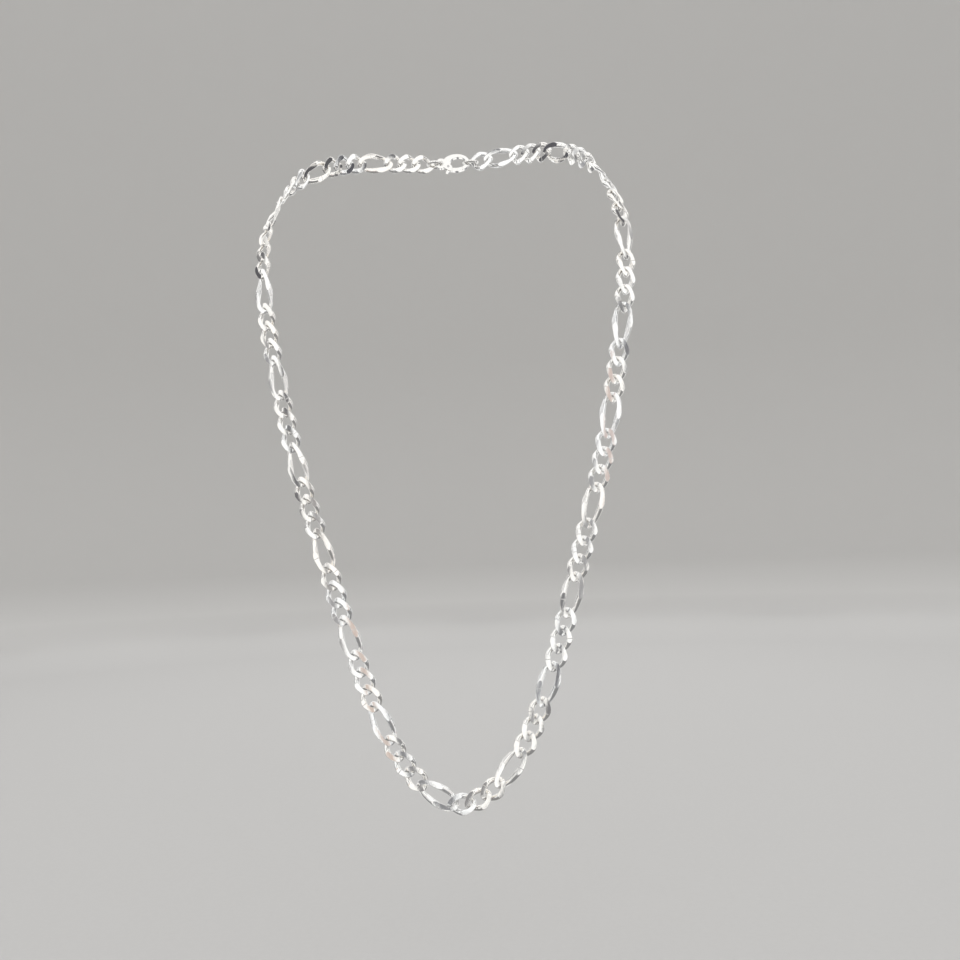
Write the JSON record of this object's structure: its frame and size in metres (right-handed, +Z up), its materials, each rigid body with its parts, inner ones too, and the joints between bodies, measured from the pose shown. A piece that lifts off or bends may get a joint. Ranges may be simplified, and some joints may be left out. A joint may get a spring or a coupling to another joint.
{
  "type": "chain necklace",
  "caption": "Silver figaro chain necklace of flat, twisted oval links, short and long in turn, closed at the nape by a lobster clasp.",
  "frame": {"origin": "middle of the clasp at the nape, where the neck holds the necklace", "axes": "+Z up, -Y the front that the links' flat faces show, +X to the viewer's right; the front loop hangs in a vertical plane"},
  "size_m": [0.1475, 0.0755, 0.2761],
  "materials": {
    "polished_silver": "polished",
    "pin_steel": "satin"
  },
  "bodies": {
    "neck_stretch": {"left_shoulder_links": "polished_silver", "left_neck_links": "polished_silver", "left_nape_links": "polished_silver", "right_shoulder_links": "polished_silver", "right_neck_links": "polished_silver", "right_nape_links": "polished_silver", "clasp_ring": "polished_silver", "end_ring": "polished_silver", "clasp_body": "polished_silver", "clasp_pin": "pin_steel", "clasp_spring": "pin_steel"},
    "bottom": {"bottom_link": "polished_silver"},
    "left_00_02": {"left_long_00": "polished_silver"},
    "left_02_04": {"left_small_02": "polished_silver", "left_small_03": "polished_silver"},
    "left_04_05": {"left_small_04": "polished_silver"},
    "left_05_07": {"left_long_05": "polished_silver"},
    "left_07_09": {"left_small_07": "polished_silver", "left_small_08": "polished_silver"},
    "left_09_10": {"left_small_09": "polished_silver"},
    "left_10_12": {"left_long_10": "polished_silver"},
    "left_12_14": {"left_small_12": "polished_silver", "left_small_13": "polished_silver"},
    "left_14_15": {"left_small_14": "polished_silver"},
    "left_15_17": {"left_long_15": "polished_silver"},
    "left_17_19": {"left_small_17": "polished_silver", "left_small_18": "polished_silver"},
    "left_19_20": {"left_small_19": "polished_silver"},
    "left_20_22": {"left_long_20": "polished_silver"},
    "left_22_24": {"left_small_22": "polished_silver", "left_small_23": "polished_silver"},
    "left_24_25": {"left_small_24": "polished_silver"},
    "left_25_27": {"left_long_25": "polished_silver"},
    "left_27_29": {"left_small_27": "polished_silver", "left_small_28": "polished_silver"},
    "right_00_02": {"right_small_00": "polished_silver", "right_small_01": "polished_silver"},
    "right_02_04": {"right_long_02": "polished_silver"},
    "right_04_05": {"right_small_04": "polished_silver"},
    "right_05_07": {"right_small_05": "polished_silver", "right_small_06": "polished_silver"},
    "right_07_09": {"right_long_07": "polished_silver"},
    "right_09_10": {"right_small_09": "polished_silver"},
    "right_10_12": {"right_small_10": "polished_silver", "right_small_11": "polished_silver"},
    "right_12_14": {"right_long_12": "polished_silver"},
    "right_14_15": {"right_small_14": "polished_silver"},
    "right_15_17": {"right_small_15": "polished_silver", "right_small_16": "polished_silver"},
    "right_17_19": {"right_long_17": "polished_silver"},
    "right_19_20": {"right_small_19": "polished_silver"},
    "right_20_22": {"right_small_20": "polished_silver", "right_small_21": "polished_silver"},
    "right_22_24": {"right_long_22": "polished_silver"},
    "right_24_25": {"right_small_24": "polished_silver"},
    "right_25_27": {"right_small_25": "polished_silver", "right_small_26": "polished_silver"},
    "right_27_29": {"right_long_27": "polished_silver"},
    "clasp_lever": {"clasp_lever": "polished_silver"}
  },
  "joints": [
    {"name": "left_fold_02", "type": "hinge", "parent": "left_02_04", "child": "left_00_02", "pos_m": [-0.0147, -0.06923, -0.26095], "axis": [1, 0, 0], "range_deg": [-12, 12]},
    {"name": "left_fold_04", "type": "hinge", "parent": "left_04_05", "child": "left_02_04", "pos_m": [-0.02299, -0.06923, -0.24995], "axis": [-1, 0, 0], "range_deg": [-16, 16]},
    {"name": "left_fold_05", "type": "hinge", "parent": "left_05_07", "child": "left_04_05", "pos_m": [-0.02628, -0.06923, -0.24389], "axis": [1, 0, 0], "range_deg": [-20, 20]},
    {"name": "left_fold_07", "type": "hinge", "parent": "left_07_09", "child": "left_05_07", "pos_m": [-0.03182, -0.06923, -0.23125], "axis": [-1, 0, 0], "range_deg": [-20, 20]},
    {"name": "left_fold_09", "type": "hinge", "parent": "left_09_10", "child": "left_07_09", "pos_m": [-0.0364, -0.06923, -0.21824], "axis": [1, 0, 0], "range_deg": [-20, 20]},
    {"name": "left_fold_10", "type": "hinge", "parent": "left_10_12", "child": "left_09_10", "pos_m": [-0.03851, -0.06923, -0.21167], "axis": [-1, 0, 0], "range_deg": [-20, 20]},
    {"name": "left_fold_12", "type": "hinge", "parent": "left_12_14", "child": "left_10_12", "pos_m": [-0.04245, -0.06923, -0.19844], "axis": [1, 0, 0], "range_deg": [-20, 20]},
    {"name": "left_fold_14", "type": "hinge", "parent": "left_14_15", "child": "left_12_14", "pos_m": [-0.04608, -0.06923, -0.18513], "axis": [-1, 0, 0], "range_deg": [-20, 20]},
    {"name": "left_fold_15", "type": "hinge", "parent": "left_15_17", "child": "left_14_15", "pos_m": [-0.0479, -0.06923, -0.17847], "axis": [1, 0, 0], "range_deg": [-20, 20]},
    {"name": "left_fold_17", "type": "hinge", "parent": "left_17_19", "child": "left_15_17", "pos_m": [-0.05161, -0.06923, -0.16518], "axis": [-1, 0, 0], "range_deg": [-20, 20]},
    {"name": "left_fold_19", "type": "hinge", "parent": "left_19_20", "child": "left_17_19", "pos_m": [-0.05535, -0.06923, -0.1519], "axis": [1, 0, 0], "range_deg": [-20, 20]},
    {"name": "left_fold_20", "type": "hinge", "parent": "left_20_22", "child": "left_19_20", "pos_m": [-0.05707, -0.06923, -0.14522], "axis": [-1, 0, 0], "range_deg": [-20, 20]},
    {"name": "left_fold_22", "type": "hinge", "parent": "left_22_24", "child": "left_20_22", "pos_m": [-0.06018, -0.06923, -0.13177], "axis": [1, 0, 0], "range_deg": [-20, 20]},
    {"name": "left_fold_24", "type": "hinge", "parent": "left_24_25", "child": "left_22_24", "pos_m": [-0.06285, -0.06923, -0.11823], "axis": [-1, 0, 0], "range_deg": [-20, 20]},
    {"name": "left_fold_25", "type": "hinge", "parent": "left_25_27", "child": "left_24_25", "pos_m": [-0.06409, -0.06923, -0.11144], "axis": [1, 0, 0], "range_deg": [-20, 20]},
    {"name": "left_fold_27", "type": "hinge", "parent": "left_27_29", "child": "left_25_27", "pos_m": [-0.06644, -0.06923, -0.09785], "axis": [-1, 0, 0], "range_deg": [-20, 20]},
    {"name": "left_fold_29", "type": "hinge", "parent": "neck_stretch", "child": "left_27_29", "pos_m": [-0.06852, -0.06923, -0.0842], "axis": [1, 0, 0], "range_deg": [-18, 18]},
    {"name": "right_fold_02", "type": "hinge", "parent": "right_02_04", "child": "right_00_02", "pos_m": [0.0147, -0.06923, -0.26095], "axis": [1, 0, 0], "range_deg": [-12, 12]},
    {"name": "right_fold_04", "type": "hinge", "parent": "right_04_05", "child": "right_02_04", "pos_m": [0.02299, -0.06923, -0.24995], "axis": [-1, 0, 0], "range_deg": [-16, 16]},
    {"name": "right_fold_05", "type": "hinge", "parent": "right_05_07", "child": "right_04_05", "pos_m": [0.02628, -0.06923, -0.24389], "axis": [1, 0, 0], "range_deg": [-20, 20]},
    {"name": "right_fold_07", "type": "hinge", "parent": "right_07_09", "child": "right_05_07", "pos_m": [0.03182, -0.06923, -0.23125], "axis": [-1, 0, 0], "range_deg": [-20, 20]},
    {"name": "right_fold_09", "type": "hinge", "parent": "right_09_10", "child": "right_07_09", "pos_m": [0.0364, -0.06923, -0.21824], "axis": [1, 0, 0], "range_deg": [-20, 20]},
    {"name": "right_fold_10", "type": "hinge", "parent": "right_10_12", "child": "right_09_10", "pos_m": [0.03851, -0.06923, -0.21167], "axis": [-1, 0, 0], "range_deg": [-20, 20]},
    {"name": "right_fold_12", "type": "hinge", "parent": "right_12_14", "child": "right_10_12", "pos_m": [0.04245, -0.06923, -0.19844], "axis": [1, 0, 0], "range_deg": [-20, 20]},
    {"name": "right_fold_14", "type": "hinge", "parent": "right_14_15", "child": "right_12_14", "pos_m": [0.04608, -0.06923, -0.18513], "axis": [-1, 0, 0], "range_deg": [-20, 20]},
    {"name": "right_fold_15", "type": "hinge", "parent": "right_15_17", "child": "right_14_15", "pos_m": [0.0479, -0.06923, -0.17847], "axis": [1, 0, 0], "range_deg": [-20, 20]},
    {"name": "right_fold_17", "type": "hinge", "parent": "right_17_19", "child": "right_15_17", "pos_m": [0.05161, -0.06923, -0.16518], "axis": [-1, 0, 0], "range_deg": [-20, 20]},
    {"name": "right_fold_19", "type": "hinge", "parent": "right_19_20", "child": "right_17_19", "pos_m": [0.05535, -0.06923, -0.1519], "axis": [1, 0, 0], "range_deg": [-20, 20]},
    {"name": "right_fold_20", "type": "hinge", "parent": "right_20_22", "child": "right_19_20", "pos_m": [0.05707, -0.06923, -0.14522], "axis": [-1, 0, 0], "range_deg": [-20, 20]},
    {"name": "right_fold_22", "type": "hinge", "parent": "right_22_24", "child": "right_20_22", "pos_m": [0.06018, -0.06923, -0.13177], "axis": [1, 0, 0], "range_deg": [-20, 20]},
    {"name": "right_fold_24", "type": "hinge", "parent": "right_24_25", "child": "right_22_24", "pos_m": [0.06285, -0.06923, -0.11823], "axis": [-1, 0, 0], "range_deg": [-20, 20]},
    {"name": "right_fold_25", "type": "hinge", "parent": "right_25_27", "child": "right_24_25", "pos_m": [0.06409, -0.06923, -0.11144], "axis": [1, 0, 0], "range_deg": [-20, 20]},
    {"name": "right_fold_27", "type": "hinge", "parent": "right_27_29", "child": "right_25_27", "pos_m": [0.06644, -0.06923, -0.09785], "axis": [-1, 0, 0], "range_deg": [-20, 20]},
    {"name": "right_fold_29", "type": "hinge", "parent": "neck_stretch", "child": "right_27_29", "pos_m": [0.06852, -0.06923, -0.0842], "axis": [1, 0, 0], "range_deg": [-18, 18]},
    {"name": "bottom_fold_00", "type": "hinge", "parent": "left_00_02", "child": "bottom", "pos_m": [-0.00315, -0.06923, -0.26808], "axis": [-1, 0, 0], "range_deg": [-3, 3]},
    {"name": "clasp_lever_pivot", "type": "hinge", "parent": "neck_stretch", "child": "clasp_lever", "pos_m": [-0.0019, 0, -0.0015], "axis": [0, -1, 0], "range_deg": [0, 18], "stiffness_Nm_per_rad": 0.02, "springref_deg": -20.05}
  ],
  "couplings": [
    {"joint": "right_fold_02", "follows": "left_fold_02", "ratio": 1},
    {"joint": "right_fold_04", "follows": "left_fold_04", "ratio": 1},
    {"joint": "right_fold_05", "follows": "left_fold_05", "ratio": 1},
    {"joint": "right_fold_07", "follows": "left_fold_07", "ratio": 1},
    {"joint": "right_fold_09", "follows": "left_fold_09", "ratio": 1},
    {"joint": "right_fold_10", "follows": "left_fold_10", "ratio": 1},
    {"joint": "right_fold_12", "follows": "left_fold_12", "ratio": 1},
    {"joint": "right_fold_14", "follows": "left_fold_14", "ratio": 1},
    {"joint": "right_fold_15", "follows": "left_fold_15", "ratio": 1},
    {"joint": "right_fold_17", "follows": "left_fold_17", "ratio": 1},
    {"joint": "right_fold_19", "follows": "left_fold_19", "ratio": 1},
    {"joint": "right_fold_20", "follows": "left_fold_20", "ratio": 1},
    {"joint": "right_fold_22", "follows": "left_fold_22", "ratio": 1},
    {"joint": "right_fold_24", "follows": "left_fold_24", "ratio": 1},
    {"joint": "right_fold_25", "follows": "left_fold_25", "ratio": 1},
    {"joint": "right_fold_27", "follows": "left_fold_27", "ratio": 1},
    {"joint": "right_fold_29", "follows": "left_fold_29", "ratio": 1}
  ]
}
